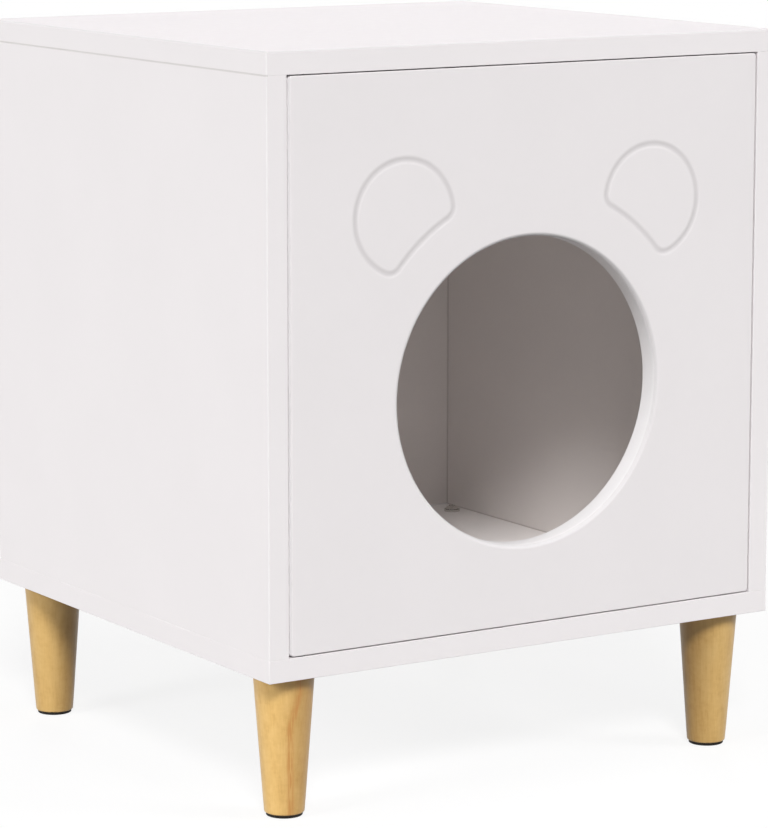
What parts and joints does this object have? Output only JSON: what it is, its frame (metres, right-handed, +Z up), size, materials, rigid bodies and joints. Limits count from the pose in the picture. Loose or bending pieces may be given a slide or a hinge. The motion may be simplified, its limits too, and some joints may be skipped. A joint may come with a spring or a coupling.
{
  "type": "cat house",
  "caption": "White board pet cabinet on four turned wooden legs, with an inset hinged door, a round entry hole and routed ear outlines.",
  "frame": {"origin": "middle of the floor area under the cat house, on the underside of the foot pads", "axes": "+Z up, +Y from the front with the door to the back, +X to the right of someone facing the front"},
  "size_m": [0.4, 0.38, 0.498],
  "materials": {
    "white_board": "smooth satin white paint over board",
    "pine": "clear satin varnish over pale pine, grain upright",
    "pad_rubber": "matt black",
    "plated_steel": "bright nickel plate",
    "brass": "turned",
    "beech": "raw fluted dowel",
    "zinc": "die cast, dull",
    "white_plastic": "fine matt moulding",
    "grey_nylon": "smooth moulding",
    "ferrite": "ground, dull"
  },
  "bodies": {
    "cabinet": {"top_board": "white_board", "bottom_board": "white_board", "side_panel_left": "white_board", "side_panel_right": "white_board", "back_panel": "white_board", "leg_front_left": "pine", "leg_front_right": "pine", "leg_rear_left": "pine", "leg_rear_right": "pine", "foot_pad_front_left": "pad_rubber", "foot_pad_front_right": "pad_rubber", "foot_pad_rear_left": "pad_rubber", "foot_pad_rear_right": "pad_rubber", "leg_bolts": "plated_steel", "leg_washers": "plated_steel", "leg_inserts": "brass", "wood_dowels": "beech", "cam_bolts": "plated_steel", "cam_locks": "zinc", "cam_caps": "white_plastic", "bottom_screws": "plated_steel", "back_screws": "plated_steel", "pivot_bush_top": "grey_nylon", "pivot_bush_bottom": "grey_nylon", "catch_case": "white_plastic", "catch_magnet": "ferrite", "catch_pole_plates": "plated_steel", "catch_screws": "plated_steel"},
    "door": {"door_panel": "white_board", "pivot_pin_top": "plated_steel", "pivot_pin_bottom": "plated_steel", "strike_plate": "plated_steel", "strike_screws": "plated_steel"}
  },
  "joints": [
    {"name": "door_swing", "type": "hinge", "parent": "cabinet", "child": "door", "pos_m": [-0.17528, -0.1845, 0.297], "axis": [0, 0, -1], "range_deg": [0, 115]}
  ]
}
